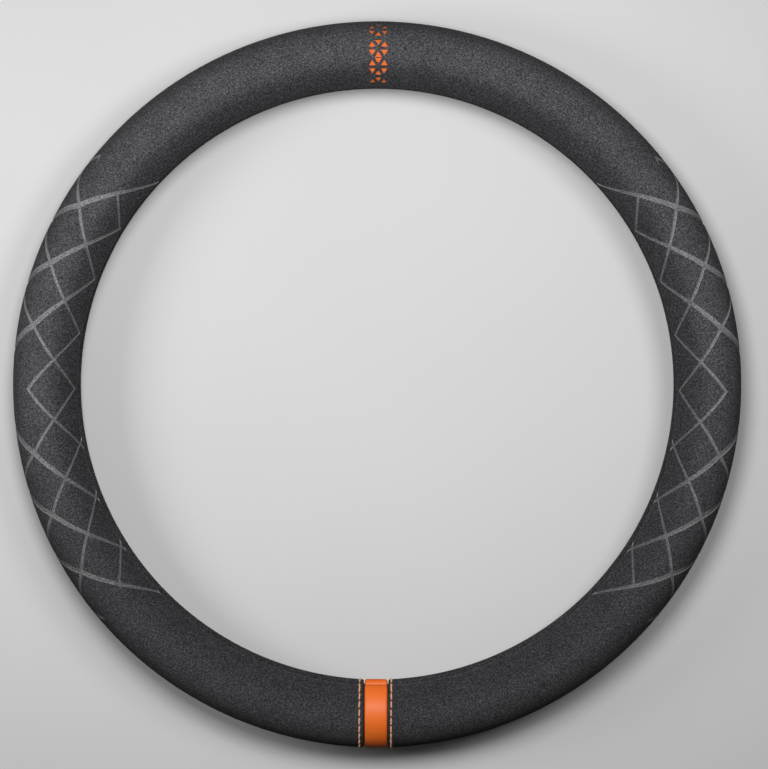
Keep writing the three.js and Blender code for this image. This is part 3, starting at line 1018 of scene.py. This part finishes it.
paper = add_node(floor_finish, "ShaderNodeEmission", {"Color": (*PAPER_TONE, 1)}).outputs["Emission"]
near_and_far = add_node(floor_finish, "ShaderNodeMixShader", {0: far, 1: shader.outputs["BSDF"], 2: paper})
floor_output = next(n for n in floor_finish.node_tree.nodes if n.type == "OUTPUT_MATERIAL")
floor_finish.node_tree.links.new(near_and_far.outputs["Shader"], floor_output.inputs["Surface"])
give(floor, floor_finish)

# %% [markdown]
# The main soft lamp hangs high over the cover, a little above its top. A weaker one hangs to the
# upper right, and the weakest stands low at the left. They are near, so the light falls off towards
# the bottom, and a very dim even surround fills what is left. The shares add up to about one on a
# surface that faces up, so that colours come out as they are written.

# %% Lamps
SURROUND_LIGHT = 0.04
LAMP_DISTANCE = 0.7
LAMP_SIZE = 0.28

world = bpy.data.worlds.new("studio_surround")
bpy.context.scene.world = world
world.use_nodes = True
surround = world.node_tree.nodes["Background"]
surround.inputs["Color"].default_value = (1, 1, 1, 1)
seen_surround = world.node_tree.nodes.new("ShaderNodeLightPath").outputs["Is Camera Ray"]
strength = world.node_tree.nodes.new("ShaderNodeMapRange")
world.node_tree.links.new(seen_surround, strength.inputs["Value"])
strength.inputs["To Min"].default_value = SURROUND_LIGHT
strength.inputs["To Max"].default_value = PAPER_TONE[0]
world.node_tree.links.new(strength.outputs["Result"], surround.inputs["Strength"])


def studio_lamp(name, azimuth, elevation, share):
    """A soft round lamp that gives an upward surface at the middle this share of full light."""
    around, up = math.radians(azimuth), math.radians(elevation)
    direction = Vector((math.cos(up) * math.cos(around), math.cos(up) * math.sin(around), math.sin(up)))
    lamp = bpy.data.lights.new(name, "AREA")
    lamp.shape = "DISK"
    lamp.size = LAMP_SIZE
    lamp.energy = share * (math.pi * LAMP_DISTANCE) ** 2 / math.sin(up)
    obj = bpy.data.objects.new(name, lamp)
    bpy.context.collection.objects.link(obj)
    obj.location = direction * LAMP_DISTANCE
    obj.rotation_euler = direction.to_track_quat("Z", "Y").to_euler()
    print(name, "has", round(lamp.energy, 1), "watts")


studio_lamp("high_lamp", azimuth=105, elevation=72, share=0.54)
studio_lamp("right_lamp", azimuth=30, elevation=60, share=0.24)
studio_lamp("left_lamp", azimuth=175, elevation=35, share=0.16)

# %% [markdown]
# The camera looks almost straight down on the cover from 1.4 m, with a long lens. It stands a few
# degrees towards the top of the ring and is rolled by a fraction of one, fitted to the photo.

# %% Camera
CAMERA_DISTANCE = 1.4
CAMERA_TILT = 4.5
CAMERA_ROLL = 0.22
LENS = 124.2
SENSOR = 36
LOOK_AT = (0.0036, 0.0018)

camera_data = bpy.data.cameras.new("view")
camera_data.lens = LENS
camera_data.sensor_width = SENSOR
camera = bpy.data.objects.new("view", camera_data)
bpy.context.collection.objects.link(camera)
look_at = Vector((*LOOK_AT, SECTION_HEIGHT * MM))
tilt = math.radians(CAMERA_TILT)
roll = math.radians(CAMERA_ROLL)
behind = Matrix.Rotation(roll, 3, "Z") @ Vector((0, math.sin(tilt), math.cos(tilt)))
camera.location = look_at + CAMERA_DISTANCE * behind
camera.rotation_euler = (-tilt, 0, roll)
bpy.context.scene.camera = camera
bpy.context.scene.view_settings.view_transform = "Standard"
